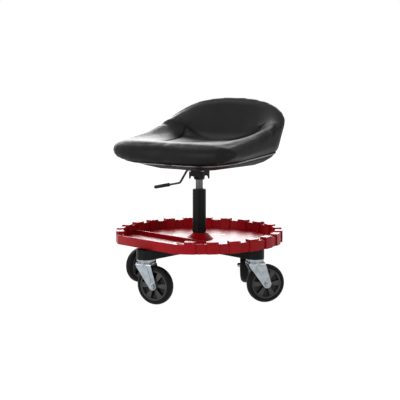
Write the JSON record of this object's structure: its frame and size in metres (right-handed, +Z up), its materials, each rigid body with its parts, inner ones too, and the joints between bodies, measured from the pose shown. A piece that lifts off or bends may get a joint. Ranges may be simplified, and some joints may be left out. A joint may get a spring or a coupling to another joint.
{
  "type": "creeper seat",
  "caption": "Rolling workshop seat: padded bucket seat on a swivelling gas lift, round castellated tool tray and a base on swivel casters.",
  "frame": {"origin": "on the floor, on the axis of the lift column", "axes": "+Z up along the column; the sitter faces -Y; the lift lever is on the -X side"},
  "size_m": [0.6005, 0.5678, 0.661],
  "materials": {
    "tray_red": "glossy moulded red",
    "seat_vinyl": "satin grained black vinyl",
    "welt_vinyl": "satin black vinyl",
    "shell_plastic": "lightly textured black",
    "black_steel": "semi-gloss black powder coat",
    "lift_steel": "satin dark steel",
    "lever_steel": "dark plated",
    "grip_plastic": "matte black",
    "zinc_steel": "bright zinc plate",
    "bolt_steel": "zinc plate",
    "bush_plastic": "smooth black acetal",
    "bumper_rubber": "matte rubber",
    "wheel_core": "dark grey moulded",
    "tyre": "matte black rubber"
  },
  "bodies": {
    "base": {"base_hub": "black_steel", "column_tube": "black_steel", "guide_bush": "bush_plastic", "thrust_bearing": "bolt_steel", "tray": "tray_red", "tray_rim": "tray_red", "tray_screws": "bolt_steel", "kingpins": "bolt_steel", "kingpin_nuts": "bolt_steel", "leg_front": "black_steel", "top_race_front": "zinc_steel", "leg_left": "black_steel", "top_race_left": "zinc_steel", "leg_rear": "black_steel", "top_race_rear": "zinc_steel", "leg_right": "black_steel", "top_race_right": "zinc_steel"},
    "spindle": {"piston_rod": "lift_steel", "rod_clip": "bolt_steel", "rod_bumper": "bumper_rubber"},
    "seat": {"gas_cylinder": "lift_steel", "mechanism_plate": "black_steel", "taper_socket": "black_steel", "lever_pivot": "bolt_steel", "seat_pad": "seat_vinyl", "seat_shell": "shell_plastic", "seat_welt": "welt_vinyl", "seat_bolts": "bolt_steel", "seat_tee_nuts": "bolt_steel"},
    "lever": {"lever_rod": "lever_steel", "lever_grip": "grip_plastic"},
    "valve": {"release_pin": "bolt_steel"},
    "caster_front": {"fork_front": "zinc_steel", "ball_ring_front": "bolt_steel", "axle_bolt_front": "bolt_steel", "axle_nut_front": "bolt_steel"},
    "wheel_front": {"wheel_core_front": "wheel_core", "wheel_bush_front": "bush_plastic", "tyre_front": "tyre"},
    "caster_left": {"fork_left": "zinc_steel", "ball_ring_left": "bolt_steel", "axle_bolt_left": "bolt_steel", "axle_nut_left": "bolt_steel"},
    "wheel_left": {"wheel_core_left": "wheel_core", "wheel_bush_left": "bush_plastic", "tyre_left": "tyre"},
    "caster_rear": {"fork_rear": "zinc_steel", "ball_ring_rear": "bolt_steel", "axle_bolt_rear": "bolt_steel", "axle_nut_rear": "bolt_steel"},
    "wheel_rear": {"wheel_core_rear": "wheel_core", "wheel_bush_rear": "bush_plastic", "tyre_rear": "tyre"},
    "caster_right": {"fork_right": "zinc_steel", "ball_ring_right": "bolt_steel", "axle_bolt_right": "bolt_steel", "axle_nut_right": "bolt_steel"},
    "wheel_right": {"wheel_core_right": "wheel_core", "wheel_bush_right": "bush_plastic", "tyre_right": "tyre"}
  },
  "joints": [
    {"name": "seat_swivel", "type": "hinge", "parent": "base", "child": "spindle", "pos_m": [0, 0, 0.2], "axis": [0, 0, 1], "continuous": true},
    {"name": "seat_lift", "type": "slide", "parent": "spindle", "child": "seat", "axis": [0, 0, 1], "range_m": [-0.028, 0.092]},
    {"name": "lever_lift", "type": "hinge", "parent": "seat", "child": "lever", "pos_m": [-0.01936, -0.00238, 0.418], "axis": [-0.1219, 0.9925, 0], "range_deg": [0, 5], "stiffness_Nm_per_rad": 4, "springref_deg": -5.73},
    {"name": "valve_press", "type": "slide", "parent": "seat", "child": "valve", "axis": [0, 0, -1], "range_m": [0, 0.0018]},
    {"name": "caster_front_swivel", "type": "hinge", "parent": "base", "child": "caster_front", "pos_m": [0, -0.252, 0.14], "axis": [0, 0, 1], "continuous": true},
    {"name": "wheel_front_spin", "type": "hinge", "parent": "caster_front", "child": "wheel_front", "pos_m": [0.0346, -0.24208, 0.0635], "axis": [-0.2756, 0.9613, 0], "continuous": true},
    {"name": "caster_left_swivel", "type": "hinge", "parent": "base", "child": "caster_left", "pos_m": [0.252, 0, 0.14], "axis": [0, 0, 1], "continuous": true},
    {"name": "wheel_left_spin", "type": "hinge", "parent": "caster_left", "child": "wheel_left", "pos_m": [0.27054, 0.03086, 0.0635], "axis": [-0.8572, 0.515, 0], "continuous": true},
    {"name": "caster_rear_swivel", "type": "hinge", "parent": "base", "child": "caster_rear", "pos_m": [0, 0.252, 0.14], "axis": [0, 0, 1], "continuous": true},
    {"name": "wheel_rear_spin", "type": "hinge", "parent": "caster_rear", "child": "wheel_rear", "pos_m": [0.02013, 0.22215, 0.0635], "axis": [0.829, 0.5592, 0], "continuous": true},
    {"name": "caster_right_swivel", "type": "hinge", "parent": "base", "child": "caster_right", "pos_m": [-0.252, 0, 0.14], "axis": [0, 0, 1], "continuous": true},
    {"name": "wheel_right_spin", "type": "hinge", "parent": "caster_right", "child": "wheel_right", "pos_m": [-0.25451, -0.03591, 0.0635], "axis": [0.9976, -0.0698, 0], "continuous": true}
  ],
  "couplings": [
    {"joint": "valve_press", "follows": "lever_lift", "m_per_rad": 0.0195}
  ]
}
